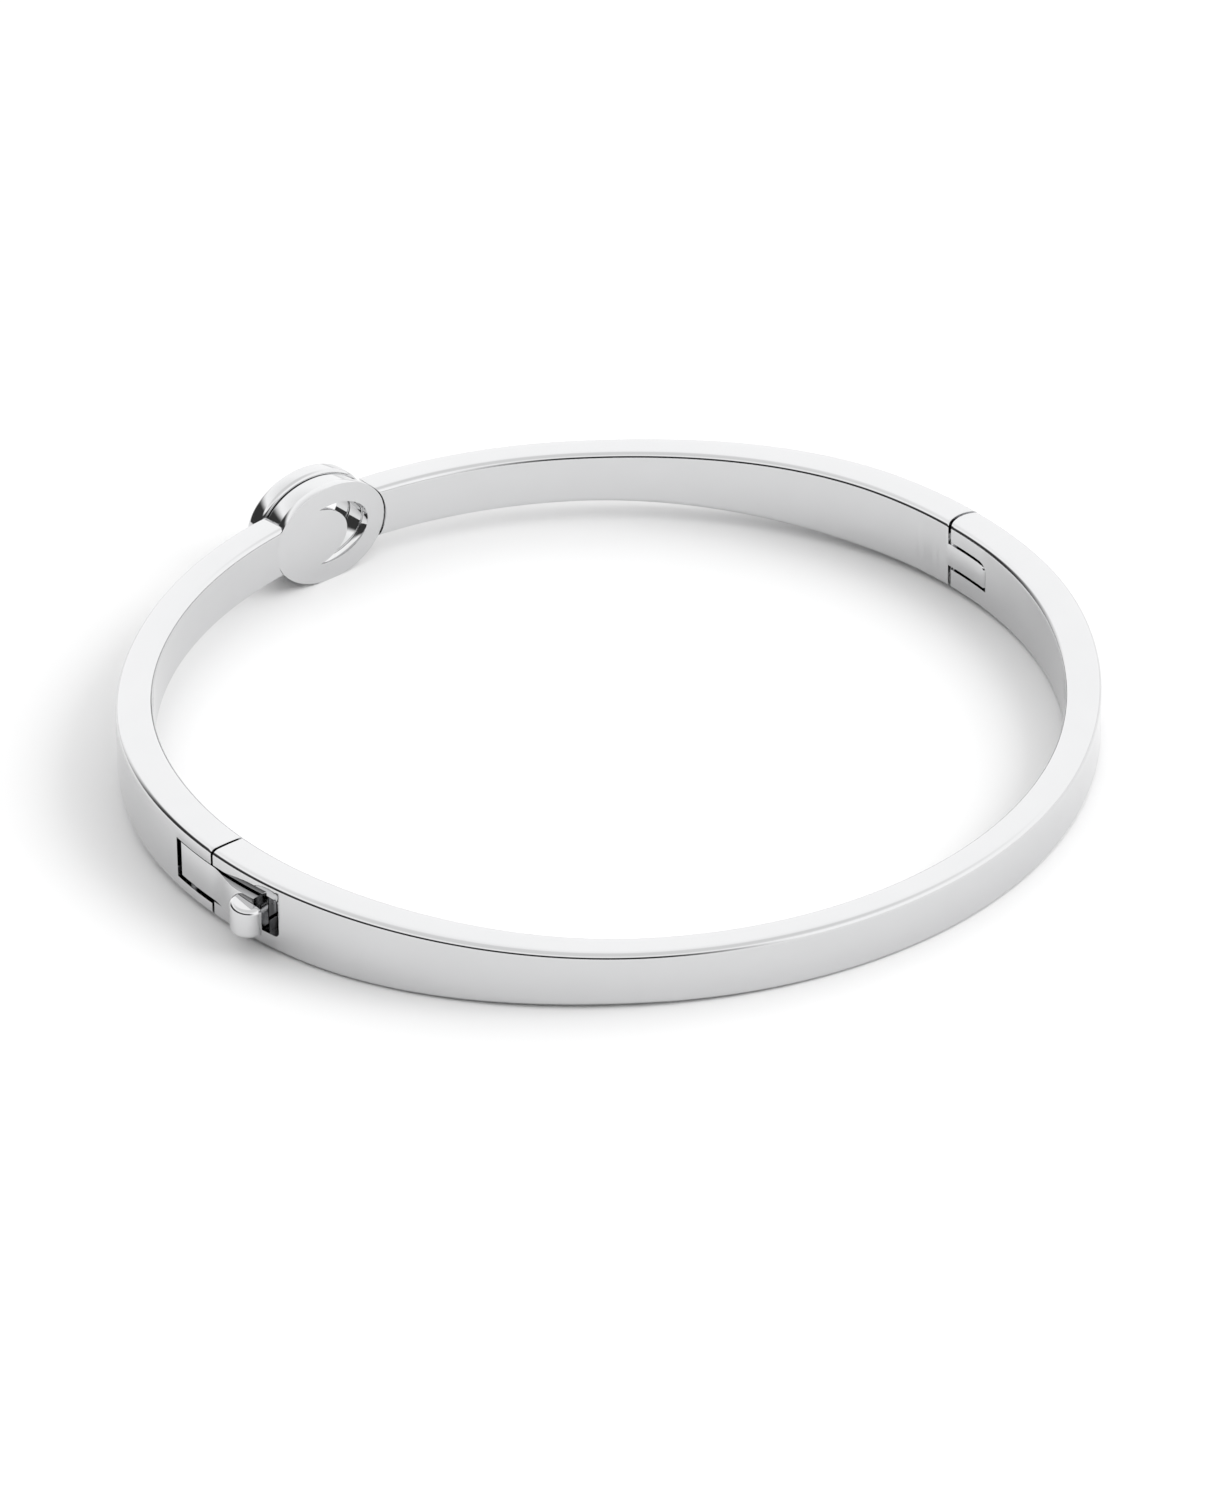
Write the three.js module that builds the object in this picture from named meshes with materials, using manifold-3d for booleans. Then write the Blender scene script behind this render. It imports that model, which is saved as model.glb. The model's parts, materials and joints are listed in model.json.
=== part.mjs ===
// Hinged bangle bracelet: two half-round bands, a pinned hinge, a push-to-open latch and a ring station.
// Millimetres, +Z up. Angles are degrees anticlockwise from +X seen from above; radii are from the
// bangle's centre. The hinge is near 0, the station at 90 and the clasp near 180.
import * as THREE from 'three';
import { mergeVertices } from 'three/addons/utils/BufferGeometryUtils.js';
import Module from 'manifold-3d';

const wasm = await Module();
wasm.setup();

// Band
const innerRadius = 28.6;
const wall = 2.15;
const jointWall = 2.6;
const outerRadius = innerRadius + jointWall;
const midRadius = innerRadius + jointWall / 2;
const jointHeight = 4.85;
const narrowHeight = 3.65;
const plateauAngle = 13;
const narrowAngle = 55.5;
const edgeFillet = 0.36;
const bendStep = 3;

// Hinge
const hingeSeamAngle = 1;
const hingePinAngle = -2.9;
const hingePinTrackRadius = 29.95;
const hingePinRadius = 0.38;
const hingePinTop = 2.05;
const hingeRunningGap = 0.06;
const earReach = 2.2;
const tongueReach = 2.15;
const tongueLow = -0.68;
const tongueHigh = 0.92;
const tongueRound = 0.4;
const hingeGap = 0.22;

// Clasp
const claspSeamAngle = 179.6;
const claspGap = 0.2;
const floorRadius = 29.3;
const pocketStart = 172.35;
const pocketLow = -1.47;
const pocketHigh = 1.37;
const slotEnd = 190.5;
const slotLow = -1.24;
const slotHigh = 1.42;
const slotRound = 0.35;
const slotEndWidth = 4;
const seamOverrun = 3;
const leverStart = 173.3;
const leverEnd = 187.8;
const leverThickness = 0.62;
const leverFlush = 0.03;
const leverLow = -1.12;
const leverHigh = 1.28;
const leverPivotAngle = 174.4;
const leverPivotTrackRadius = 30.55;
const leverBarrelRadius = 0.6;
const leverPinRadius = 0.3;
const leverPinHalfLength = 1.95;
const leverRunningGap = 0.05;
const leverSwell = 0.6;
const pinFit = 0.02;
const nubAngle = 187;
const nubTrackRadius = 31.83;
const nubRadius = 1.15;
const nubLow = -1.15;
const nubHigh = 0.95;
const nubSlope = 7;
const catchStart = 181.2;
const catchLipStart = 186.3;
const catchEnd = 186.8;
const catchThickness = 0.2;
const lipHeight = 0.6;
const springStart = 175.4;
const springSweep = 3.1;
const springHalfHeight = 0.8;
const springThickness = 0.12;
const springRise = 0.95;

// Station
const stationAngle = 90;
const stationHalfWidth = 4.4;
const stationHalfHeight = 3.45;
const ringWidth = 1.35;
const backFace = 28.4;
const backPlateThickness = 0.55;
const coreThickness = 1.3;
const rimThickness = 1.27;
const layerGap = 0.05;
const groove = 0.09;
const coreInset = 0.22;
const solderGap = 0.06;
const tabShift = -1.7;

const polished = { color: 0xd9dadb, roughness: 0.12, metalness: 1 };
const inner = { color: 0xbfc0c2, roughness: 0.3, metalness: 1 };

// Cutting blocks are taller than the band, and reach from well inside it to well outside it.
const tall = 10;
const wellInside = 20;
const wellOutside = 40;

const rad = THREE.MathUtils.degToRad;
const group = new THREE.Group();
group.name = 'bangle_bracelet';

function polar(radius, angle) {
  return new THREE.Vector2(radius * Math.cos(rad(angle)), radius * Math.sin(rad(angle)));
}

function toManifold(geometry) {
  const bare = geometry.clone();
  bare.deleteAttribute('normal');
  bare.deleteAttribute('uv');
  const merged = mergeVertices(bare, 1e-5);
  return new wasm.Manifold(new wasm.Mesh({
    numProp: 3,
    vertProperties: new Float32Array(merged.attributes.position.array),
    triVerts: new Uint32Array(merged.index.array),
  }));
}

function add(name, solid, finish) {
  const mesh = solid.getMesh();
  const geometry = new THREE.BufferGeometry();
  geometry.setAttribute('position', new THREE.BufferAttribute(new Float32Array(mesh.vertProperties), 3));
  geometry.setIndex(new THREE.BufferAttribute(new Uint32Array(mesh.triVerts), 1));
  geometry.computeVertexNormals();
  const part = new THREE.Mesh(geometry, new THREE.MeshStandardMaterial(finish));
  part.name = name;
  group.add(part);
}

// A plan outline raised from z0 to z1.
function slab(points, z0, z1, curveSegments = 8) {
  const geometry = new THREE.ExtrudeGeometry(new THREE.Shape(points), {
    depth: z1 - z0, bevelEnabled: false, curveSegments,
  });
  geometry.translate(0, 0, z0);
  return toManifold(geometry);
}

// A block that follows the ring: radii r0 to r1, angles a0 to a1.
function sector(r0, r1, a0, a1, z0, z1) {
  const steps = Math.max(1, Math.ceil(Math.abs(a1 - a0) / bendStep));
  const points = [];
  for (let i = 0; i <= steps; i += 1) {
    points.push(polar(r1, a0 + (a1 - a0) * i / steps));
  }
  for (let i = steps; i >= 0; i -= 1) {
    points.push(polar(r0, a0 + (a1 - a0) * i / steps));
  }
  return slab(points, z0, z1);
}

// An upright round bar.
function bar(radius, track, angle, z0, z1, segments = 32) {
  const geometry = new THREE.CylinderGeometry(radius, radius, z1 - z0, segments);
  geometry.rotateX(Math.PI / 2);
  const centre = polar(track, angle);
  geometry.translate(centre.x, centre.y, (z0 + z1) / 2);
  return toManifold(geometry);
}

// An upright bar whose upper rim is rounded.
function roundedBar(radius, track, angle, z0, z1, round, segments = 48) {
  const rim = new THREE.Path();
  rim.moveTo(0, z0);
  rim.lineTo(radius, z0);
  rim.absarc(radius - round, z1 - round, round, 0, Math.PI / 2);
  rim.lineTo(0, z1);
  const geometry = new THREE.LatheGeometry(rim.getPoints(5), segments);
  geometry.rotateX(Math.PI / 2);
  const centre = polar(track, angle);
  geometry.translate(centre.x, centre.y, 0);
  return toManifold(geometry);
}

// The band is tallest and thickest at the two joints: 1 there, falling to 0 between them.
function jointShare(angle) {
  const wrapped = ((angle % 180) + 180) % 180;
  const fromJoint = Math.min(wrapped, 180 - wrapped);
  return 1 - THREE.MathUtils.smoothstep(fromJoint, plateauAngle, narrowAngle);
}

// A straight bar with rounded edges, bent round the wrist and stretched to the local height and wall.
function band(a0, a1) {
  const x = wall / 2 - edgeFillet;
  const y = narrowHeight / 2 - edgeFillet;
  const section = new THREE.Shape();
  section.absarc(x, y, edgeFillet, 0, Math.PI / 2);
  section.absarc(-x, y, edgeFillet, Math.PI / 2, Math.PI);
  section.absarc(-x, -y, edgeFillet, Math.PI, 1.5 * Math.PI);
  section.absarc(x, -y, edgeFillet, 1.5 * Math.PI, 2 * Math.PI);
  const steps = Math.ceil((a1 - a0) / bendStep);
  const geometry = new THREE.ExtrudeGeometry(section, {
    depth: a1 - a0, steps, bevelEnabled: false, curveSegments: 2,
  });
  const position = geometry.attributes.position;
  for (let i = 0; i < position.count; i += 1) {
    const angle = a1 - position.getZ(i);
    const share = jointShare(angle);
    const lift = Math.sign(position.getY(i)) * share * (jointHeight - narrowHeight) / 2;
    const stretch = 1 + share * (jointWall / wall - 1);
    const plan = polar(innerRadius + (position.getX(i) + wall / 2) * stretch, angle);
    position.setXYZ(i, plan.x, plan.y, position.getY(i) + lift);
  }
  return toManifold(geometry);
}

// An oval plate standing across the wrist direction, between two distances from the centre.
function ovalOutline(halfWidth, halfHeight, shift = 0) {
  const outline = new THREE.Shape();
  outline.absellipse(shift, 0, halfWidth, halfHeight, 0, 2 * Math.PI);
  return outline;
}

function uprightPlate(outline, y0, y1, bevel = 0) {
  const geometry = new THREE.ExtrudeGeometry(outline, {
    depth: y1 - y0 - 2 * bevel,
    bevelEnabled: bevel > 0,
    bevelThickness: bevel,
    bevelSize: bevel,
    bevelOffset: -bevel,
    bevelSegments: 2,
    curveSegments: 18,
  });
  geometry.rotateX(Math.PI / 2);
  geometry.translate(0, y1 - bevel, 0);
  return toManifold(geometry);
}

// Station: three stacked oval layers around one window.
const windowHalfWidth = stationHalfWidth - ringWidth;
const windowHalfHeight = stationHalfHeight - ringWidth;
const coreStart = backFace + backPlateThickness + groove;
const rimStart = coreStart + coreThickness + groove;

const windowHole = uprightPlate(
  ovalOutline(windowHalfWidth, windowHalfHeight), wellInside, wellOutside);
const tab = uprightPlate(
  ovalOutline(windowHalfWidth, windowHalfHeight, tabShift), wellInside, wellOutside);
const crescent = windowHole.subtract(tab);
const stationClearance = uprightPlate(
  ovalOutline(stationHalfWidth + solderGap, stationHalfHeight + solderGap), wellInside, wellOutside);

add('station_rim', uprightPlate(
  ovalOutline(stationHalfWidth, stationHalfHeight), rimStart, rimStart + rimThickness, 0.3,
).subtract(windowHole), polished);
add('station_core', uprightPlate(
  ovalOutline(stationHalfWidth - coreInset, stationHalfHeight - coreInset),
  coreStart, coreStart + coreThickness,
).subtract(windowHole), polished);
add('station_back_plate', uprightPlate(
  ovalOutline(stationHalfWidth, stationHalfHeight), backFace, backFace + backPlateThickness, 0.12,
).subtract(crescent), polished);

// Hinge: the back half's tongue turns on a pin between two ears of the front half.
const cutSweep = 20;
const rootEnd = hingeSeamAngle + 6;
const pinBore = bar(hingePinRadius + hingeRunningGap, hingePinTrackRadius, hingePinAngle, -tall, tall);
const beyondPin = sector(wellInside, wellOutside, hingePinAngle, hingePinAngle + cutSweep, -tall, tall);
const earEnd = beyondPin.subtract(bar(earReach, hingePinTrackRadius, hingePinAngle, -tall, tall, 48));
const earSeat = bar(earReach + hingeGap, hingePinTrackRadius, hingePinAngle, -tall, tall, 48);

const tongueNose = roundedBar(tongueReach, hingePinTrackRadius, hingePinAngle,
  tongueLow, tongueHigh, tongueRound);
const tongueRoot = sector(wellInside, wellOutside, hingePinAngle, rootEnd, tongueLow, tongueHigh);
const tongue = band(hingePinAngle - 8, rootEnd).intersect(tongueNose.add(tongueRoot));
const backHingeSide = band(-1, stationAngle)
  .subtract(earSeat)
  .subtract(stationClearance)
  .add(tongue)
  .subtract(pinBore);
add('back_band_hinge_side', backHingeSide, polished);

const spaceLow = tongueLow - hingeGap;
const spaceHigh = tongueHigh + hingeGap;
const tongueSlot = roundedBar(tongueReach + hingeGap, hingePinTrackRadius, hingePinAngle,
  spaceLow, spaceHigh, tongueRound + hingeGap)
  .add(sector(wellInside, wellOutside, hingePinAngle, rootEnd + 2, spaceLow, spaceHigh));

// Clasp: the back half's pocket holds the latch, the front half's slot takes its free end.
const halfGapAngle = THREE.MathUtils.radToDeg(claspGap / 2 / midRadius);
const pocket = sector(
  floorRadius, wellOutside, pocketStart, claspSeamAngle + seamOverrun, pocketLow, pocketHigh);
const leverPinBore = bar(leverPinRadius + pinFit, leverPivotTrackRadius, leverPivotAngle,
  -leverPinHalfLength - pinFit, leverPinHalfLength + pinFit);
add('back_band_clasp_side', band(stationAngle, claspSeamAngle - halfGapAngle)
  .subtract(stationClearance)
  .subtract(pocket)
  .subtract(leverPinBore), polished);

// The slot's closed end has rounded corners.
const slotOutline = new THREE.Shape();
const slotDepth = outerRadius - floorRadius + 1;
slotOutline.absarc(slotEndWidth - slotRound, slotHigh - slotRound, slotRound, Math.PI / 2, 0, true);
slotOutline.absarc(slotEndWidth - slotRound, slotLow + slotRound, slotRound, 0, -Math.PI / 2, true);
slotOutline.lineTo(0, slotLow);
slotOutline.lineTo(0, slotHigh);
const slotEndCut = new THREE.ExtrudeGeometry(slotOutline, {
  depth: slotDepth, bevelEnabled: false, curveSegments: 4,
});
slotEndCut.rotateX(Math.PI / 2);
slotEndCut.rotateZ(Math.PI / 2);
slotEndCut.translate(floorRadius, -slotEndWidth, 0);
slotEndCut.rotateZ(rad(slotEnd));
const slotWay = sector(
  floorRadius, wellOutside, claspSeamAngle - seamOverrun, slotEnd - 3, slotLow, slotHigh);
const slot = slotWay.add(toManifold(slotEndCut));
const frontStart = claspSeamAngle + halfGapAngle;
const frontPinBore = bar(hingePinRadius + pinFit, hingePinTrackRadius, hingePinAngle,
  -tall, hingePinTop + layerGap);
add('front_band', band(frontStart, 360 + hingeSeamAngle + 4)
  .subtract(earEnd)
  .subtract(tongueSlot)
  .subtract(slot)
  .subtract(frontPinBore), polished);
add('hinge_pin', bar(hingePinRadius, hingePinTrackRadius, hingePinAngle,
  -jointHeight / 2 + 0.05, hingePinTop), inner);

// Latch lever: a flush curved plate that swells outward under the thumb nub.
const leverOuter = outerRadius - leverFlush;
const nubFoot = outerRadius + leverSwell;
const leverOutline = [];
const leverSteps = 12;
for (let i = 0; i <= leverSteps; i += 1) {
  const angle = leverStart + (leverEnd - leverStart) * i / leverSteps;
  const swell = THREE.MathUtils.smoothstep(angle, claspSeamAngle, nubAngle - 1.5);
  leverOutline.push(polar(leverOuter + (nubFoot - leverOuter) * swell, angle));
}
for (let i = leverSteps; i >= 0; i -= 1) {
  const angle = leverStart + (leverEnd - leverStart) * i / leverSteps;
  leverOutline.push(polar(leverOuter - leverThickness, angle));
}
const leverBore = bar(leverPinRadius + leverRunningGap, leverPivotTrackRadius, leverPivotAngle, -tall, tall);
add('latch_lever', slab(leverOutline, leverLow, leverHigh)
  .add(bar(leverBarrelRadius, leverPivotTrackRadius, leverPivotAngle, leverLow, leverHigh, 28))
  .subtract(leverBore), polished);
add('latch_pivot_pin', bar(leverPinRadius, leverPivotTrackRadius, leverPivotAngle,
  -leverPinHalfLength, leverPinHalfLength), inner);

// Thumb nub: an upright half-round pad, soldered on the lever's free end; its top slopes to that end.
const nubShell = bar(nubRadius, nubTrackRadius, nubAngle, nubLow, nubHigh + 1, 40);
const nubBack = sector(wellInside, nubFoot + layerGap, nubAngle - 6, nubAngle + 6, -tall, 2 * tall);
const topCut = new THREE.BoxGeometry(4 * nubRadius, 4 * nubRadius, 4);
topCut.translate(0, 0, 2);
topCut.rotateX(rad(-nubSlope));
topCut.translate(nubTrackRadius, 0, nubHigh);
topCut.rotateZ(rad(nubAngle));
add('latch_nub', nubShell.subtract(nubBack).subtract(toManifold(topCut)), polished);

// Catch plate: a thin lining on the slot's floor with a raised lip under the lever.
const liningLow = floorRadius + layerGap;
const lining = sector(liningLow, liningLow + catchThickness, catchStart, catchEnd, leverLow, -leverLow);
const lip = sector(liningLow, liningLow + lipHeight, catchLipStart, catchEnd, leverLow, -leverLow);
add('catch_plate', lining.add(lip), inner);

// Return spring: a bowed leaf between the pocket's floor and the lever.
const springSteps = 8;
const springOutline = [];
for (const lift of [0, springThickness]) {
  for (let i = 0; i <= springSteps; i += 1) {
    const along = lift > 0 ? 1 - i / springSteps : i / springSteps;
    const rise = springRise * Math.sin(Math.PI * along);
    springOutline.push(polar(liningLow + rise + lift, springStart + springSweep * along));
  }
}
add('latch_spring', slab(springOutline, -springHalfHeight, springHalfHeight), inner);

// The origin is the middle of the footprint at the lowest point.
const box = new THREE.Box3().setFromObject(group);
const centre = box.getCenter(new THREE.Vector3());
group.traverse((node) => {
  if (node.isMesh) {
    node.geometry.translate(-centre.x, -centre.y, -box.min.z);
  }
});

export default group;
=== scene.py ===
import json
import math
import bpy
import bmesh
from mathutils import Matrix, Vector


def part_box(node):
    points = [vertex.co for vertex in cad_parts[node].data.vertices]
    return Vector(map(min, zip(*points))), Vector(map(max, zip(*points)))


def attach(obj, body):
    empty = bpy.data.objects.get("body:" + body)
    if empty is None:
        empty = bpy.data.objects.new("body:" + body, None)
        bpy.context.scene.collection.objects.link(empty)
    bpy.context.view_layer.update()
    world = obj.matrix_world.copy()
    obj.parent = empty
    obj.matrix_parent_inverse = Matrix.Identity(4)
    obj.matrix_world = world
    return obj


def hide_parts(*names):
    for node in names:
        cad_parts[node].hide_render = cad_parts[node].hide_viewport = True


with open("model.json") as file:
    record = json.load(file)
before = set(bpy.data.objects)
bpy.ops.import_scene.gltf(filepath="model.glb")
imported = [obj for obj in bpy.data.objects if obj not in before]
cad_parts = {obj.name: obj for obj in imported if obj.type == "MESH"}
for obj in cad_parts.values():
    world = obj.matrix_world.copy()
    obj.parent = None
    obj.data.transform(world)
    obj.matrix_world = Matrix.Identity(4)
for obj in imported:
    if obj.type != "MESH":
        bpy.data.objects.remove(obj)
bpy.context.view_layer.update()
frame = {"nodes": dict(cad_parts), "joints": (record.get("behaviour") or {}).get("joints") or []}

print("frame loaded:", ", ".join(sorted(frame["nodes"])))

mm = 0.001
jointOf = {joint["name"]: joint for joint in frame["joints"]}
hingeAt = Vector(jointOf["hinge"]["pos_m"])
latchAt = Vector(jointOf["latch_press"]["pos_m"])

# lengths are in metres; angles are in degrees, anticlockwise from the hinge side as seen from above
bandSpec = dict(
    innerRadius=28.6 * mm, wall=2.15 * mm, jointWall=2.59 * mm, jointHeight=4.85 * mm,
    narrowHeight=3.65 * mm, plateauAngle=13.0, narrowAngle=55.5, edgeFillet=0.34 * mm, crown=0.05 * mm,
    stepAngle=0.6, filletSteps=7, topSteps=6, softEdge=0.05 * mm)
hingeSpec = dict(
    pinTrack=29.95 * mm, pinAngle=-2.9, pinRadius=0.38 * mm, pinFoot=-2.36 * mm, pinHead=2.05 * mm,
    boreRadius=0.44 * mm, pinFit=0.02 * mm, headRoom=0.05 * mm, bandStart=-1.0, earReach=2.2 * mm,
    earCut=20.0, tongueReach=2.15 * mm, tongueSpan=9.0, tongueEnd=7.0, tongueRootEnd=8.0, tongueWayEnd=9.0,
    tongueLow=-0.68 * mm, tongueHigh=0.92 * mm, tongueRound=0.4 * mm, gap=0.22 * mm)
claspSpec = dict(
    seamAngle=179.6, gap=0.2 * mm, seamRound=0.26 * mm, seamSlack=0.004 * mm, floorRadius=29.3 * mm,
    pocketStart=172.35, pocketEnd=182.0, pocketLow=-1.47 * mm, pocketHigh=1.37 * mm, pocketSlack=0.01 * mm,
    slotStart=176.0, slotEnd=190.5, slotLow=-1.24 * mm, slotHigh=1.42 * mm, slotRound=0.35 * mm,
    slotCornerSteps=6, endCutWidth=8 * mm, endCutOverlap=3.0, endCutDepth=0.02 * mm,
    pivotHole=0.32 * mm, pivotHoleHalf=1.97 * mm, pivotHoleSides=32, bandEnd=365.0)

# the band's middle and outer radius at the two joints
midRadius = bandSpec["innerRadius"] + bandSpec["jointWall"] / 2
outerRadius = bandSpec["innerRadius"] + bandSpec["jointWall"]

# cutting blocks reach well past the band on every side, and follow the ring in steps of blockStep degrees
tall = 10 * mm
wellInside = 20 * mm
wellOutside = 40 * mm
blockStep = 0.4


def around(radius, angle, z=0.0):
    lean = math.radians(angle)
    return Vector((radius * math.cos(lean), radius * math.sin(lean), z))


ringCentre = hingeAt - around(hingeSpec["pinTrack"], hingeSpec["pinAngle"])

# the camera looks over the front of the bangle at the hinge and the station
cameraSpec = dict(
    facing=-129.0, elevation=32.21, roll=0.62, distance=641 * mm, lens=246.45,
    aimRight=0.278 * mm, aimAway=-4.594 * mm, nearest=10 * mm, farthest=20.0)


def makeCamera(spec):
    data = bpy.data.cameras.new("camera")
    data.lens = spec["lens"]
    data.clip_start = spec["nearest"]
    data.clip_end = spec["farthest"]
    camera = bpy.data.objects.new("camera", data)
    bpy.context.scene.collection.objects.link(camera)
    toward = around(1.0, spec["facing"])
    right = Vector((-toward.y, toward.x, 0.0))
    lift = math.radians(spec["elevation"])
    back = toward * math.cos(lift) + Vector((0.0, 0.0, math.sin(lift)))
    up = back.cross(right)
    roll = math.radians(spec["roll"])
    aim = ringCentre + right * spec["aimRight"] - toward * spec["aimAway"]
    axes = Matrix((
        right * math.cos(roll) - up * math.sin(roll),
        right * math.sin(roll) + up * math.cos(roll),
        back)).transposed()
    camera.matrix_world = Matrix.Translation(aim + back * spec["distance"]) @ axes.to_4x4()
    bpy.context.scene.camera = camera


makeCamera(cameraSpec)
bpy.context.scene.view_settings.view_transform = "Standard"
print("camera placed")


class Wire:
    # a node's output that takes part in sums
    def __init__(self, tree, socket):
        self.tree = tree
        self.socket = socket

    def combine(self, operation, first, second):
        return self.tree.node("ShaderNodeMath", {"operation": operation}, {0: first, 1: second})

    def __add__(self, other):
        return self.combine("ADD", self, other)

    def __radd__(self, other):
        return self.combine("ADD", other, self)

    def __sub__(self, other):
        return self.combine("SUBTRACT", self, other)

    def __rsub__(self, other):
        return self.combine("SUBTRACT", other, self)

    def __mul__(self, other):
        return self.combine("MULTIPLY", self, other)

    def __rmul__(self, other):
        return self.combine("MULTIPLY", other, self)

    def __truediv__(self, other):
        return self.combine("DIVIDE", self, other)

    def __pow__(self, other):
        return self.combine("POWER", self, other)

    def sign(self):
        return self.combine("SIGN", self, 0.0)

    def size(self):
        return self.combine("ABSOLUTE", self, 0.0)

    def step(self, low, high):
        return self.tree.node(
            "ShaderNodeMapRange", {"interpolation_type": "SMOOTHSTEP"},
            {"Value": self, "From Min": low, "From Max": high})


class Tree:
    def __init__(self, nodeTree):
        self.nodeTree = nodeTree
        nodeTree.nodes.clear()

    def node(self, kind, settings=None, sockets=None, out=0):
        made = self.nodeTree.nodes.new(kind)
        for name, value in (settings or {}).items():
            setattr(made, name, value)
        for key, value in (sockets or {}).items():
            if isinstance(value, Wire):
                self.nodeTree.links.new(value.socket, made.inputs[key])
            else:
                made.inputs[key].default_value = value
        return Wire(self, made.outputs[out]) if made.outputs else None

    def outputs(self, wire):
        return [Wire(self, socket) for socket in wire.socket.node.outputs]

    def openGroup(self, sockets):
        for name, kind in sockets.items():
            self.nodeTree.interface.new_socket(name, in_out="INPUT", socket_type="NodeSocket" + kind)
        self.nodeTree.interface.new_socket("Geometry", in_out="OUTPUT", socket_type="NodeSocketGeometry")
        entry = self.node("NodeGroupInput")
        return {wire.socket.name: wire for wire in self.outputs(entry)}

    def closeGroup(self, geometry, metal):
        real = self.node("GeometryNodeRealizeInstances", None, {"Geometry": geometry})
        dressed = self.node("GeometryNodeSetMaterial", None, {"Geometry": real, "Material": metal})
        self.node("NodeGroupOutput", None, {"Geometry": dressed})


# polished plating: near-mirror, with faint hairlines and slow waviness left by the buffing wheel
polishSpec = dict(colour=(0.655, 0.657, 0.663, 1.0), roughness=0.07, hairline=0.03, wave=0.02)
satinSpec = dict(colour=(0.52, 0.52, 0.53, 1.0), roughness=0.3, hairline=0.2, wave=0.04)
# the marks on both metals: how close they lie, how much they darken the colour and how far they stand out
markSpec = dict(
    hairlineScale=(900.0, 900.0, 14000.0), cloudScale=420.0, grainScale=9000.0, cloudShare=0.5, darker=0.94,
    grainShare=0.4, hairlineShare=0.6, bump=0.03, bumpHeight=0.01 * mm)


def makeMetal(name, spec):
    marks = markSpec
    material = bpy.data.materials.new(name)
    material.use_nodes = True
    tree = Tree(material.node_tree)
    place = tree.node("ShaderNodeTexCoord", out="Object")
    stretched = tree.node("ShaderNodeMapping", None, {"Vector": place, "Scale": marks["hairlineScale"]})
    hairline = tree.node("ShaderNodeTexNoise", None, {"Vector": stretched, "Scale": 1.0, "Detail": 3.0})
    cloud = tree.node("ShaderNodeTexNoise", None, {
        "Vector": place, "Scale": marks["cloudScale"], "Detail": 2.0})
    grain = tree.node("ShaderNodeTexNoise", None, {
        "Vector": place, "Scale": marks["grainScale"], "Detail": 2.0})
    darker = tuple(marks["darker"] * channel for channel in spec["colour"][:3]) + (1.0,)
    shade = tree.node("ShaderNodeMix", {"data_type": "RGBA"}, {
        0: cloud * marks["cloudShare"], 6: spec["colour"], 7: darker}, out=2)
    gloss = (hairline - 0.5) * spec["hairline"] + (cloud - 0.5) * spec["wave"] + spec["roughness"]
    bump = tree.node("ShaderNodeBump", None, {
        "Strength": marks["bump"], "Distance": marks["bumpHeight"],
        "Height": grain * marks["grainShare"] + hairline * marks["hairlineShare"]})
    surface = tree.node("ShaderNodeBsdfPrincipled", None, {
        "Base Color": shade, "Metallic": 1.0, "Roughness": gloss, "Normal": bump})
    tree.node("ShaderNodeOutputMaterial", None, {"Surface": surface})
    return material


polished = makeMetal("polished plating", polishSpec)
satin = makeMetal("satin spring steel", satinSpec)
print("metals mixed")


# the band: a rounded bar swept along an arc, taller and thicker at the two joints
def makeBandTree():
    group = bpy.data.node_groups.new("band arc", "GeometryNodeTree")
    tree = Tree(group)
    given = tree.openGroup({
        "Start": "Float", "Sweep": "Float", "Inner Radius": "Float", "Wall": "Float", "Joint Wall": "Float",
        "Joint Height": "Float", "Narrow Height": "Float", "Plateau": "Float", "Narrow From": "Float",
        "Crown": "Float", "Steps": "Int", "Centre": "Vector", "Section": "Object", "Metal": "Material"})
    middle = given["Inner Radius"] + given["Wall"] * 0.5
    path = tree.node("GeometryNodeCurveArc", {"mode": "RADIUS"}, {
        "Resolution": given["Steps"], "Radius": middle,
        "Start Angle": given["Start"], "Sweep Angle": given["Sweep"]})
    path = tree.node("GeometryNodeSetCurveNormal", {"mode": "Z_UP"}, {"Curve": path})
    section = tree.node("GeometryNodeObjectInfo", None, {"Object": given["Section"]}, out="Geometry")
    section = tree.node("GeometryNodeMeshToCurve", None, {"Mesh": section})
    bar = tree.node("GeometryNodeCurveToMesh", None, {
        "Curve": path, "Profile Curve": section, "Fill Caps": True})
    position = tree.node("GeometryNodeInputPosition")
    parts = tree.node("ShaderNodeSeparateXYZ", None, {0: position})
    x, y, z = tree.outputs(parts)
    reach = (x * x + y * y) ** 0.5
    fromJoint = tree.node("ShaderNodeMath", {"operation": "ARCSINE"}, {0: y.size() / reach})
    share = 1.0 - fromJoint.step(given["Plateau"], given["Narrow From"])
    across = (reach - middle) / given["Wall"] * 2.0
    lift = (given["Joint Height"] - given["Narrow Height"]) * 0.5 * share
    rise = z.sign() * (lift - across * across * given["Crown"])
    spread = (reach - given["Inner Radius"]) * share * (given["Joint Wall"] / given["Wall"] - 1.0) / reach
    offset = tree.node("ShaderNodeCombineXYZ", None, {"X": x * spread, "Y": y * spread, "Z": rise})
    shaped = tree.node("GeometryNodeSetPosition", None, {"Geometry": bar, "Offset": offset})
    placed = tree.node("GeometryNodeTransform", None, {"Geometry": shaped, "Translation": given["Centre"]})
    tree.closeGroup(placed, given["Metal"])
    return group


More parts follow.
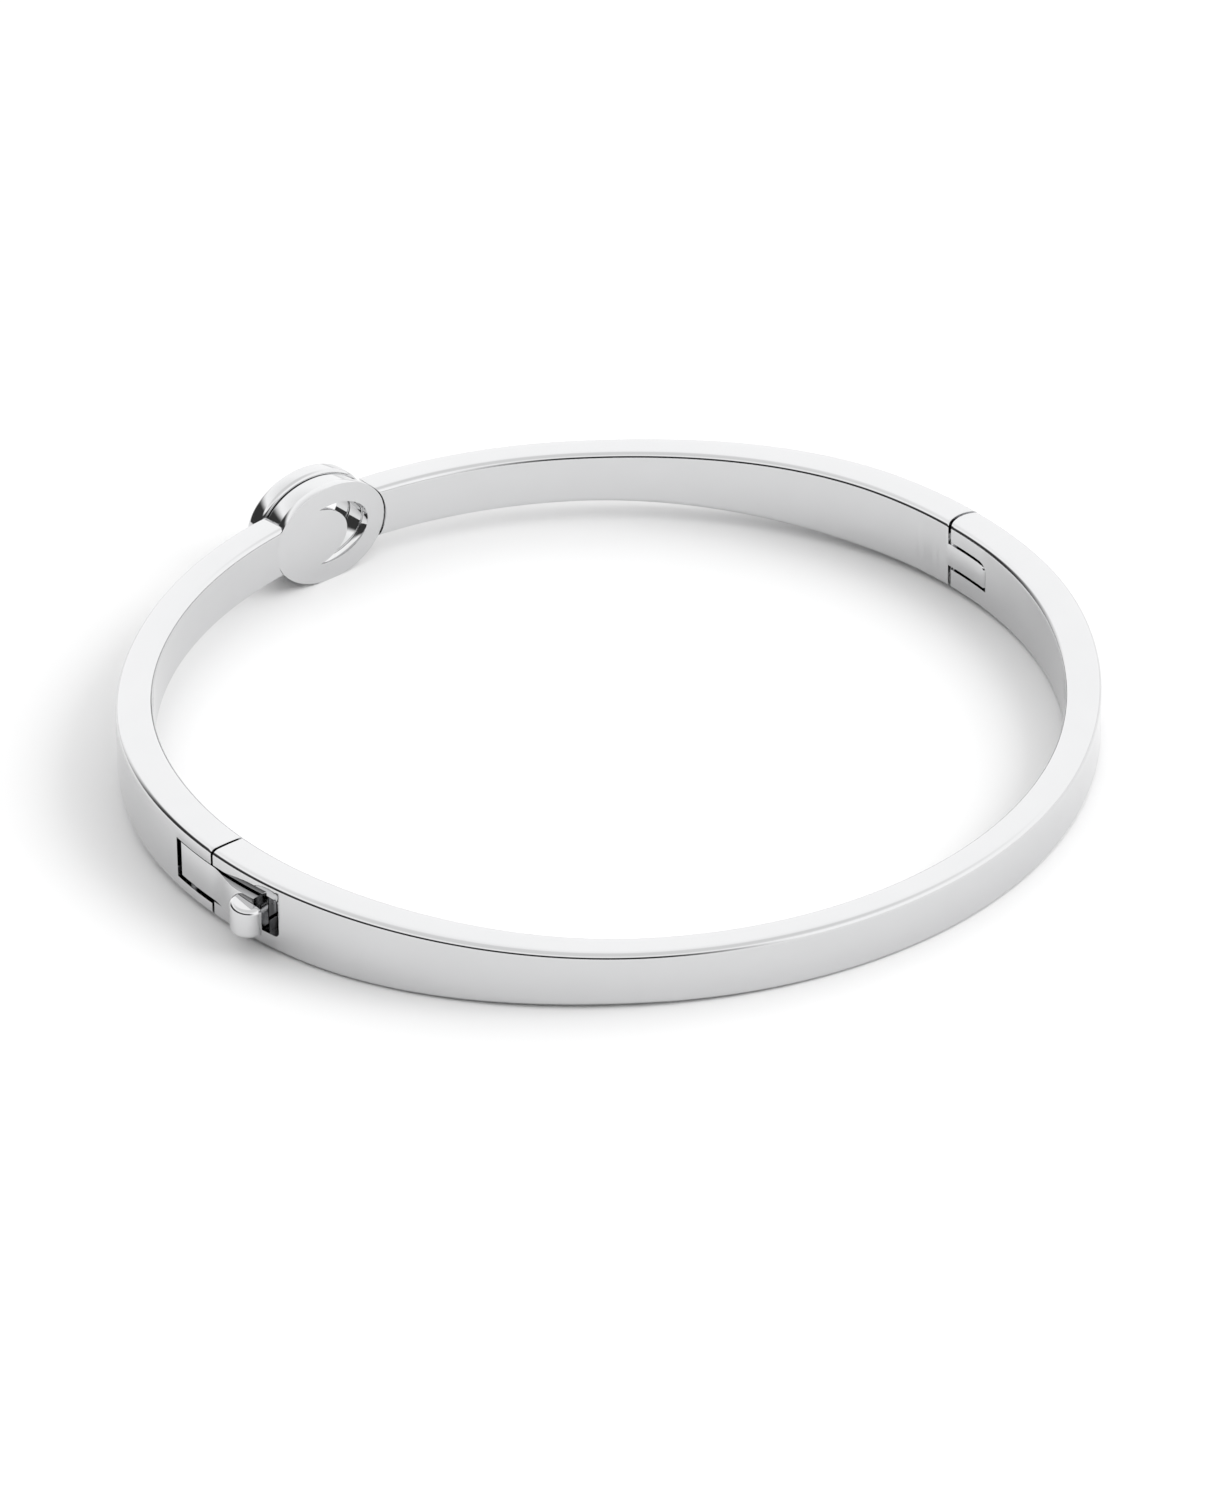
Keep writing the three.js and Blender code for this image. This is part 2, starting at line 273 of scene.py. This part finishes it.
def growMesh(name, group, values):
    holder = bpy.data.objects.new(name + " maker", bpy.data.meshes.new(name + " maker"))
    bpy.context.scene.collection.objects.link(holder)
    modifier = holder.modifiers.new("shape", "NODES")
    modifier.node_group = group
    for socket in group.interface.items_tree:
        if socket.in_out == "INPUT":
            modifier[socket.identifier] = values[socket.name]
    return bakeObject(holder, name)


def bakeObject(holder, name):
    bpy.context.view_layer.update()
    depsgraph = bpy.context.evaluated_depsgraph_get()
    mesh = bpy.data.meshes.new_from_object(holder.evaluated_get(depsgraph), depsgraph=depsgraph)
    mesh.name = name
    bpy.data.objects.remove(holder)
    piece = bpy.data.objects.new(name, mesh)
    bpy.context.scene.collection.objects.link(piece)
    return piece


bandTree = makeBandTree()


def roundedBox(name, width, height, radii, arcSteps, topSteps=1):
    # a closed outline in XY; radii go anticlockwise from the upper right corner
    # its top and bottom are split into topSteps edges, which lets the crown bend them
    corners = ((1, 1, 0), (-1, 1, 90), (-1, -1, 180), (1, -1, 270))
    points = []
    for (sideX, sideY, start), radius in zip(corners, radii):
        for i in range(arcSteps + 1):
            turned = around(radius, start + 90 * i / arcSteps)
            x, y = sideX * (width / 2 - radius), sideY * (height / 2 - radius)
            points.append((x + turned.x, y + turned.y))
        if start in (0, 180):
            fromX, level = points[-1]
            for i in range(1, topSteps):
                points.append((fromX * (1 - 2 * i / topSteps), level))
    mesh = bpy.data.meshes.new(name)
    count = len(points)
    mesh.from_pydata([(x, y, 0.0) for x, y in points], [(i, (i + 1) % count) for i in range(count)], [])
    outline = bpy.data.objects.new(name, mesh)
    bpy.context.scene.collection.objects.link(outline)
    return outline


bandSection = roundedBox(
    "band section", bandSpec["wall"], bandSpec["narrowHeight"], [bandSpec["edgeFillet"]] * 4,
    bandSpec["filletSteps"], bandSpec["topSteps"])


def bandArc(name, start, end):
    spec = bandSpec
    return growMesh(name, bandTree, {
        "Start": math.radians(start), "Sweep": math.radians(end - start), "Inner Radius": spec["innerRadius"],
        "Wall": spec["wall"], "Joint Wall": spec["jointWall"], "Joint Height": spec["jointHeight"],
        "Narrow Height": spec["narrowHeight"], "Plateau": math.radians(spec["plateauAngle"]),
        "Narrow From": math.radians(spec["narrowAngle"]), "Crown": spec["crown"],
        "Steps": round((end - start) / spec["stepAngle"]), "Centre": ringCentre, "Section": bandSection,
        "Metal": polished})


def raised(u, v, level):
    return u, v, level


def standing(u, v, level):
    return u, level, v


def outward(angle):
    # outlines drawn along the ring and upwards, raised away from the wrist
    along = around(1.0, angle + 90)
    return lambda u, v, level: ringCentre + around(level, angle, v) + along * u


def prism(name, outline, low, high, place=raised):
    # a closed solid between two copies of an outline
    return stack(name, [[place(u, v, level) for u, v in outline] for level in (low, high)])


def stack(name, rings):
    # a closed solid through rings of equally many points, with flat ends
    mesh = bpy.data.meshes.new(name)
    count = len(rings[0])
    last = count * (len(rings) - 1)
    faces = [tuple(range(count)), tuple(range(last, last + count))]
    for start in range(0, last, count):
        for i in range(count):
            j = (i + 1) % count
            faces.append((start + i, start + j, start + j + count, start + i + count))
    mesh.from_pydata([point for ring in rings for point in ring], [], faces)
    tidy = bmesh.new()
    tidy.from_mesh(mesh)
    bmesh.ops.recalc_face_normals(tidy, faces=tidy.faces)
    tidy.to_mesh(mesh)
    tidy.free()
    piece = bpy.data.objects.new(name, mesh)
    bpy.context.scene.collection.objects.link(piece)
    return piece


def ringBlock(name, inner, outer, start, end, low, high):
    steps = max(2, round(abs(end - start) / blockStep))
    angles = [start + (end - start) * i / steps for i in range(steps + 1)]
    outline = [ringCentre + around(outer, a) for a in angles]
    outline += [ringCentre + around(inner, a) for a in reversed(angles)]
    return prism(name, [(p.x, p.y) for p in outline], ringCentre.z + low, ringCentre.z + high)


def uprightBar(name, radius, centre, low, high, sides=96, rimRound=0.0, footRound=0.0, rimSteps=8):
    # a bar whose two rims may be rounded
    levels = []
    for rounding, level, side in ((footRound, low, -1), (rimRound, high, 1)):
        turns = [Vector()]
        if rounding:
            turns = [around(rounding, 90 * i / rimSteps) for i in range(rimSteps + 1)]
        rim = [(radius - rounding + turn.x, level + side * (turn.y - rounding)) for turn in turns]
        levels += rim[::side]
    rings = []
    for reach, level in levels:
        middle = Vector((centre.x, centre.y, ringCentre.z + level))
        rings.append([middle + around(reach, 360 * i / sides) for i in range(sides)])
    return stack(name, rings)


def carve(piece, tools, operation="DIFFERENCE"):
    for tool in tools:
        modifier = piece.modifiers.new("cut", "BOOLEAN")
        modifier.operation = operation
        modifier.solver = "EXACT"
        modifier.object = tool
    return bakeObject(piece, piece.name + " cut")


def dropTools(tools):
    for tool in tools:
        bpy.data.objects.remove(tool)


def markSeam(piece, angle, pocket):
    # the outline of the end face at a seam gets a wider rounding than the other edges
    weight = piece.data.attributes.new("bevel_weight_edge", "FLOAT", "EDGE")
    away = around(1.0, angle + 90)
    for edge in piece.data.edges:
        points = [piece.data.vertices[index].co - ringCentre for index in edge.vertices]
        onSeam = all(abs(point.dot(away)) < claspSpec["seamSlack"] for point in points)
        byPocket = all(pocket[0] <= point.z <= pocket[1] for point in points)
        weight.data[edge.index].value = 1.0 if onSeam and not byPocket else 0.0


# edges sharper than sharpAngle are softened, and the shading breaks only where they stay sharp
finishSpec = dict(edgeSteps=2, seamSteps=4, sharpAngle=38, normalWeight=100)


def finishPiece(
        piece, node, body, softEdge=0.0, metal=polished, seamRound=0.0,
        edgeSteps=finishSpec["edgeSteps"], sharpAngle=finishSpec["sharpAngle"]):
    if seamRound:
        rounding = piece.modifiers.new("seam rounding", "BEVEL")
        rounding.width = seamRound
        rounding.segments = finishSpec["seamSteps"]
        rounding.limit_method = "WEIGHT"
        rounding.use_clamp_overlap = True
    if softEdge:
        bevel = piece.modifiers.new("soft edge", "BEVEL")
        bevel.width = softEdge
        bevel.segments = edgeSteps
        bevel.limit_method = "ANGLE"
        bevel.angle_limit = math.radians(sharpAngle)
    piece = bakeObject(piece, node + " bevelled")
    piece.data.shade_smooth()
    piece.data.set_sharp_from_angle(angle=math.radians(sharpAngle))
    weighted = piece.modifiers.new("even shading", "WEIGHTED_NORMAL")
    weighted.keep_sharp = True
    weighted.weight = finishSpec["normalWeight"]
    piece = bakeObject(piece, node + "_finished")
    piece.data.materials.clear()
    piece.data.materials.append(metal)
    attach(piece, body)
    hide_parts(node)


def endBlock(name, start, end):
    # everything between two angles, wider and taller than the band
    return ringBlock(name, wellInside, wellOutside, start, end, -tall, tall)


def hingeBar(name, radius, low=-tall, high=tall, rimRound=0.0):
    return uprightBar(name, radius, hingeAt, low, high, rimRound=rimRound)


ovalSpec = dict(
    angle=90.0, halfWidth=4.4 * mm, halfHeight=3.45 * mm, ringWidth=1.35 * mm, backFace=28.4 * mm,
    backThickness=0.55 * mm, coreThickness=1.3 * mm, rimThickness=1.27 * mm, groove=0.09 * mm,
    coreInset=0.22 * mm, solderGap=0.06 * mm, tabShift=-1.7 * mm, rimRound=0.28 * mm, layerRound=0.1 * mm,
    plateEdge=0.09 * mm, plateEdgeSteps=3, ringSteps=160, roundSteps=8)


def oval(halfWidth, halfHeight, shift=0.0, count=128):
    return [(ringCentre.x + shift + halfWidth * math.cos(math.tau * i / count),
             ringCentre.z + halfHeight * math.sin(math.tau * i / count)) for i in range(count)]


def ovalPlate(name, halfWidth, halfHeight, low, high, shift=0.0):
    return prism(name, oval(halfWidth, halfHeight, shift), ringCentre.y + low, ringCentre.y + high, standing)


def stationSeat():
    wide = ovalSpec["halfWidth"] + ovalSpec["solderGap"]
    high = ovalSpec["halfHeight"] + ovalSpec["solderGap"]
    return ovalPlate("station seat", wide, high, wellInside, wellOutside)


# back half, hinge side: the band's end is hollowed round the ears, and its tongue turns between them
def makeHingeSide():
    spec = hingeSpec
    tools = [hingeBar("ear seat", spec["earReach"] + spec["gap"]), stationSeat()]
    piece = carve(bandArc("back_band_hinge_side", spec["bandStart"], ovalSpec["angle"]), tools)
    low, high = spec["tongueLow"], spec["tongueHigh"]
    nose = hingeBar("tongue nose", spec["tongueReach"], low, high, spec["tongueRound"])
    root = ringBlock(
        "tongue root", wellInside, wellOutside, spec["pinAngle"], spec["tongueRootEnd"], low, high)
    nose = carve(nose, [root], "UNION")
    tongue = bandArc("tongue", spec["pinAngle"] - spec["tongueSpan"], spec["tongueEnd"])
    tongue = carve(tongue, [nose], "INTERSECT")
    bore = hingeBar("bore", spec["boreRadius"])
    piece = carve(piece, [tongue], "UNION")
    piece = carve(piece, [bore])
    dropTools(tools + [nose, root, tongue, bore])
    finishPiece(piece, "back_band_hinge_side", "back_half", bandSpec["softEdge"])


# back half, clasp side: a pocket open at the joint holds the latch
def makeClaspSide():
    spec = claspSpec
    gapAngle = math.degrees(spec["gap"] / 2 / midRadius)
    low, high = spec["pocketLow"], spec["pocketHigh"]
    pocket = ringBlock(
        "pocket", spec["floorRadius"], wellOutside, spec["pocketStart"], spec["pocketEnd"], low, high)
    half = spec["pivotHoleHalf"]
    hole = uprightBar("pin hole", spec["pivotHole"], latchAt, -half, half, spec["pivotHoleSides"])
    tools = [stationSeat(), pocket, hole]
    end = spec["seamAngle"] - gapAngle
    piece = carve(bandArc("back_band_clasp_side", ovalSpec["angle"], end), tools)
    dropTools(tools)
    markSeam(piece, end, (low - spec["pocketSlack"], high + spec["pocketSlack"]))
    finishPiece(
        piece, "back_band_clasp_side", "back_half", bandSpec["softEdge"], seamRound=spec["seamRound"])


def makeSlot():
    # the slot's closed end has rounded corners
    spec = claspSpec
    low, high, turn = spec["slotLow"], spec["slotHigh"], spec["slotRound"]
    steps = spec["slotCornerSteps"]
    halfWidth = spec["endCutWidth"] / 2
    outline = [(-halfWidth, low)]
    for start, level in ((-90, low + turn), (0, high - turn)):
        for i in range(steps + 1):
            corner = around(turn, start + 90 * i / steps)
            outline.append((halfWidth - turn + corner.x, level + corner.y))
    outline.append((-halfWidth, high))
    middle = spec["slotEnd"] - math.degrees(halfWidth / outerRadius)
    floor = spec["floorRadius"]
    endCut = prism("slot end", outline, floor - spec["endCutDepth"], wellOutside, outward(middle))
    wayEnd = spec["slotEnd"] - spec["endCutOverlap"]
    way = ringBlock("slot way", floor, wellOutside, spec["slotStart"], wayEnd, low, high)
    slot = carve(way, [endCut], "UNION")
    dropTools([endCut])
    return slot


# front half: ears at the hinge end, a slot for the latch at the clasp end
def makeFront():
    hinge, clasp = hingeSpec, claspSpec
    gapAngle = math.degrees(clasp["gap"] / 2 / midRadius)
    low, high = hinge["tongueLow"] - hinge["gap"], hinge["tongueHigh"] + hinge["gap"]
    earRound = hingeBar("ear round", hinge["earReach"])
    beyond = endBlock("beyond ears", hinge["pinAngle"], hinge["pinAngle"] + hinge["earCut"])
    beyond = carve(beyond, [earRound])
    noseReach = hinge["tongueReach"] + hinge["gap"]
    tools = [
        beyond,
        hingeBar("tongue space", noseReach, low, high, hinge["tongueRound"] + hinge["gap"]),
        ringBlock("tongue way", wellInside, wellOutside, hinge["pinAngle"], hinge["tongueWayEnd"], low, high),
        makeSlot(),
        hingeBar("pin hole", hinge["pinRadius"] + hinge["pinFit"], high=hinge["pinHead"] + hinge["headRoom"])]
    piece = carve(bandArc("front_band", clasp["seamAngle"] + gapAngle, clasp["bandEnd"]), tools)
    dropTools(tools + [earRound])
    finishPiece(piece, "front_band", "front_half", bandSpec["softEdge"])


makeHingeSide()
makeClaspSide()
makeFront()
print("bands cut")


# station: a rim and a smaller core, both swept round ovals, and a back plate with a crescent window
def makeRingTree():
    group = bpy.data.node_groups.new("oval ring", "GeometryNodeTree")
    tree = Tree(group)
    given = tree.openGroup({
        "Half Width": "Float", "Half Height": "Float", "Steps": "Int", "Centre": "Vector",
        "Section": "Object", "Metal": "Material"})
    path = tree.node("GeometryNodeCurvePrimitiveCircle", {"mode": "RADIUS"}, {
        "Resolution": given["Steps"], "Radius": 1.0})
    stretch = tree.node("ShaderNodeCombineXYZ", None, {
        "X": given["Half Width"], "Y": given["Half Height"], "Z": 1.0})
    path = tree.node("GeometryNodeTransform", None, {"Geometry": path, "Scale": stretch})
    path = tree.node("GeometryNodeSetCurveNormal", {"mode": "Z_UP"}, {"Curve": path})
    section = tree.node("GeometryNodeObjectInfo", None, {"Object": given["Section"]}, out="Geometry")
    section = tree.node("GeometryNodeMeshToCurve", None, {"Mesh": section})
    ring = tree.node("GeometryNodeCurveToMesh", None, {"Curve": path, "Profile Curve": section})
    stood = tree.node("GeometryNodeTransform", None, {
        "Geometry": ring, "Rotation": (math.radians(90), 0.0, 0.0), "Translation": given["Centre"]})
    tree.closeGroup(stood, given["Metal"])
    return group


ringTree = makeRingTree()


def stationRing(name, inset, low, thickness, radii):
    width = ovalSpec["ringWidth"] - inset
    section = roundedBox(name + " section", width, thickness, radii, ovalSpec["roundSteps"])
    piece = growMesh(name, ringTree, {
        "Half Width": ovalSpec["halfWidth"] - inset - width / 2,
        "Half Height": ovalSpec["halfHeight"] - inset - width / 2,
        "Steps": ovalSpec["ringSteps"], "Centre": ringCentre + Vector((0, low + thickness / 2, 0)),
        "Section": section, "Metal": polished})
    bpy.data.objects.remove(section)
    finishPiece(piece, name, "back_half")


def makeStation():
    spec = ovalSpec
    coreStart = spec["backFace"] + spec["backThickness"] + spec["groove"]
    rimStart = coreStart + spec["coreThickness"] + spec["groove"]
    small, large = spec["layerRound"], spec["rimRound"]
    stationRing("station_rim", 0.0, rimStart, spec["rimThickness"], [large, small, small, large])
    stationRing("station_core", spec["coreInset"], coreStart, spec["coreThickness"], [small] * 4)
    windowWidth = spec["halfWidth"] - spec["ringWidth"]
    windowHeight = spec["halfHeight"] - spec["ringWidth"]
    plate = ovalPlate(
        "station_back_plate", spec["halfWidth"], spec["halfHeight"], spec["backFace"],
        spec["backFace"] + spec["backThickness"])
    crescent = ovalPlate("crescent", windowWidth, windowHeight, wellInside, wellOutside)
    tab = ovalPlate("tab", windowWidth, windowHeight, wellInside - tall, wellOutside + tall, spec["tabShift"])
    crescent = carve(crescent, [tab])
    plate = carve(plate, [crescent])
    dropTools([tab, crescent])
    finishPiece(
        plate, "station_back_plate", "back_half", spec["plateEdge"], edgeSteps=spec["plateEdgeSteps"])


makeStation()
print("station stacked")


leverSpec = dict(
    start=173.3, end=187.8, thickness=0.62 * mm, low=-1.12 * mm, high=1.28 * mm, flush=0.02 * mm,
    swell=0.6 * mm, swellEnd=185.5, barrelRadius=0.6 * mm, pinRadius=0.3 * mm, runningGap=0.05 * mm,
    pinHalf=1.95 * mm, steps=64, roundSides=48, softEdge=0.07 * mm, edgeSteps=3)
nubSpec = dict(
    angle=187.0, track=31.83 * mm, radius=1.15 * mm, low=-1.15 * mm, high=0.95 * mm, slope=7.0,
    rimRound=0.3 * mm, footRound=0.35 * mm, softEdge=0.05 * mm, sharpAngle=60, standOff=0.04 * mm,
    cutSpread=6)


def smooth(value, low, high):
    part = min(1.0, max(0.0, (value - low) / (high - low)))
    return part * part * (3 - 2 * part)


def makeLever():
    spec = leverSpec
    flush = outerRadius - spec["flush"]
    foot = outerRadius + spec["swell"]
    sweep = spec["end"] - spec["start"]
    angles = [spec["start"] + sweep * i / spec["steps"] for i in range(spec["steps"] + 1)]
    outline = []
    for angle in angles:
        swelling = smooth(angle, claspSpec["seamAngle"], spec["swellEnd"])
        outline.append(ringCentre + around(flush + (foot - flush) * swelling, angle))
    outline += [ringCentre + around(flush - spec["thickness"], angle) for angle in reversed(angles)]
    low, high = spec["low"], spec["high"]
    plate = prism("latch_lever", [(p.x, p.y) for p in outline], ringCentre.z + low, ringCentre.z + high)
    sides = spec["roundSides"]
    barrel = uprightBar("barrel", spec["barrelRadius"], latchAt, low, high, sides)
    bore = uprightBar("bore", spec["pinRadius"] + spec["runningGap"], latchAt, -tall, tall, sides)
    plate = carve(carve(plate, [barrel], "UNION"), [bore])
    dropTools([barrel, bore])
    finishPiece(plate, "latch_lever", "latch", spec["softEdge"], edgeSteps=spec["edgeSteps"])


def makeNub():
    # an upright half-round pad whose top slopes down towards the lever's free end
    spec = nubSpec
    foot = outerRadius + leverSpec["swell"] + spec["standOff"]
    centre = ringCentre + around(spec["track"], spec["angle"])
    nub = uprightBar(
        "latch_nub", spec["radius"], centre, spec["low"], spec["high"],
        rimRound=spec["rimRound"], footRound=spec["footRound"])
    start, end = spec["angle"] - spec["cutSpread"], spec["angle"] + spec["cutSpread"]
    behind = ringBlock("behind", wellInside, foot, start, end, -tall, tall)
    # the higher a point, the more it drops towards the lever's free end
    along = around(math.tan(math.radians(spec["slope"])), spec["angle"] + 90)
    for vertex in nub.data.vertices:
        share = (vertex.co.z - ringCentre.z - spec["low"]) / (spec["high"] - spec["low"])
        vertex.co.z -= share * (vertex.co - centre).dot(along)
    nub = carve(nub, [behind])
    dropTools([behind])
    finishPiece(nub, "latch_nub", "latch", spec["softEdge"], sharpAngle=spec["sharpAngle"])


pinSpec = dict(sides=48, softEdge=0.08 * mm, edgeSteps=3)


def pinPiece(name, radius, centre, low, high, body):
    pin = uprightBar(name, radius, centre, low, high, pinSpec["sides"])
    finishPiece(pin, name, body, pinSpec["softEdge"], satin, edgeSteps=pinSpec["edgeSteps"])


catchSpec = dict(
    start=181.2, lipStart=186.3, end=186.8, halfHeight=1.1 * mm, layerGap=0.05 * mm, thickness=0.2 * mm,
    lipHeight=0.6 * mm, softEdge=0.03 * mm)
springSpec = dict(
    start=175.4, sweep=3.1, thickness=0.12 * mm, rise=0.94 * mm, halfHeight=0.8 * mm,
    layerGap=0.05 * mm, steps=24)


def makeCatchPlate():
    spec = catchSpec
    half = spec["halfHeight"]
    low = claspSpec["floorRadius"] + spec["layerGap"]
    plate = ringBlock("catch_plate", low, low + spec["thickness"], spec["start"], spec["end"], -half, half)
    lip = ringBlock("lip", low, low + spec["lipHeight"], spec["lipStart"], spec["end"], -half, half)
    plate = carve(plate, [lip], "UNION")
    dropTools([lip])
    finishPiece(plate, "catch_plate", "front_half", spec["softEdge"], satin)


def makeSpring():
    # a bowed leaf between the pocket's floor and the lever
    spec = springSpec
    low = claspSpec["floorRadius"] + spec["layerGap"]
    shares = [i / spec["steps"] for i in range(spec["steps"] + 1)]
    outline = []
    for lift, order in ((spec["thickness"], shares), (0.0, shares[::-1])):
        for share in order:
            rise = spec["rise"] * math.sin(math.pi * share)
            point = ringCentre + around(low + rise + lift, spec["start"] + spec["sweep"] * share)
            outline.append((point.x, point.y))
    half = spec["halfHeight"]
    spring = prism("latch_spring", outline, ringCentre.z - half, ringCentre.z + half)
    finishPiece(spring, "latch_spring", "back_half", metal=satin)


makeLever()
makeNub()
pinPiece(
    "hinge_pin", hingeSpec["pinRadius"], hingeAt, hingeSpec["pinFoot"], hingeSpec["pinHead"], "front_half")
pinPiece(
    "latch_pivot_pin", leverSpec["pinRadius"], latchAt, -leverSpec["pinHalf"], leverSpec["pinHalf"],
    "back_half")
makeCatchPlate()
makeSpring()
bpy.data.objects.remove(bandSection)
print("latch fitted")


# a white sheet just under the station's foot and the front of the band, so it tilts a little
sheetSpec = dict(size=4.0, drop=0.02 * mm, tilt=1.55, colour=(0.93, 0.93, 0.93, 1.0), roughness=0.9)


def makeFloor():
    spec = sheetSpec
    mesh = bpy.data.meshes.new("floor")
    half = spec["size"] / 2
    corners = [(-half, -half, 0), (half, -half, 0), (half, half, 0), (-half, half, 0)]
    mesh.from_pydata(corners, [], [(0, 1, 2, 3)])
    floor = bpy.data.objects.new("floor", mesh)
    bpy.context.scene.collection.objects.link(floor)
    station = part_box("station_rim")[0]
    foot = Vector((ringCentre.x, station.y, station.z - spec["drop"]))
    lean = Matrix.Rotation(math.radians(-spec["tilt"]), 4, "X")
    floor.matrix_world = Matrix.Translation(foot) @ lean
    paper = bpy.data.materials.new("white sheet")
    paper.use_nodes = True
    tree = Tree(paper.node_tree)
    surface = tree.node("ShaderNodeBsdfPrincipled", None, {
        "Base Color": spec["colour"], "Roughness": spec["roughness"], "Specular IOR Level": 0.0})
    tree.node("ShaderNodeOutputMaterial", None, {"Surface": surface})
    mesh.materials.append(paper)


# a bright tent, open on the clasp side and towards the camera, where the room behind it is dark
tentSpec = dict(
    level=1.36, topGain=-0.4, topFrom=0.6, topTo=0.95, darkLevel=0.05, openingAngle=180.0,
    openingFrom=-0.12, openingTo=0.5, openingTop=0.64, openingBlur=0.16, farLine=0.5, lineHeight=0.03,
    lineBlur=0.07, straightUp=0.0001)


def makeWorld():
    spec = tentSpec
    world = bpy.data.worlds.new("studio tent")
    world.use_nodes = True
    bpy.context.scene.world = world
    tree = Tree(world.node_tree)
    direction = tree.node("ShaderNodeTexCoord", out="Generated")
    parts = tree.node("ShaderNodeSeparateXYZ", None, {0: direction})
    x, y, height = tree.outputs(parts)
    toOpening = around(1.0, spec["openingAngle"])
    facing = (x * toOpening.x + y * toOpening.y) / (x * x + y * y + spec["straightUp"]) ** 0.5
    opening = facing.step(spec["openingFrom"], spec["openingTo"])
    below = 1.0 - height.step(spec["openingTop"] - spec["openingBlur"], spec["openingTop"])
    horizon = 1.0 - (height - spec["lineHeight"]).size().step(0.0, spec["lineBlur"])
    top = height.step(spec["topFrom"], spec["topTo"])
    bright = spec["level"] + top * spec["topGain"] - horizon * spec["farLine"]
    dark = opening * below
    level = bright * (1.0 - dark) + dark * spec["darkLevel"]
    background = tree.node("ShaderNodeBackground", None, {"Color": (1, 1, 1, 1), "Strength": level})
    tree.node("ShaderNodeOutputWorld", None, {"Surface": background})


# a soft light from the hinge side, which leaves the deeper shadow on the clasp side
keySpec = dict(power=2.05, size=0.5, distance=0.8, facing=-50.0, elevation=42.0)


def makeKey():
    spec = keySpec
    data = bpy.data.lights.new("key", "AREA")
    data.energy = spec["power"]
    data.size = spec["size"]
    key = bpy.data.objects.new("key", data)
    bpy.context.scene.collection.objects.link(key)
    lift = math.radians(spec["elevation"])
    back = around(math.cos(lift), spec["facing"], math.sin(lift))
    turn = back.to_track_quat("Z", "Y").to_matrix().to_4x4()
    key.matrix_world = Matrix.Translation(back * spec["distance"]) @ turn
    key.visible_glossy = False


makeFloor()
makeKey()
makeWorld()
print("studio lit")
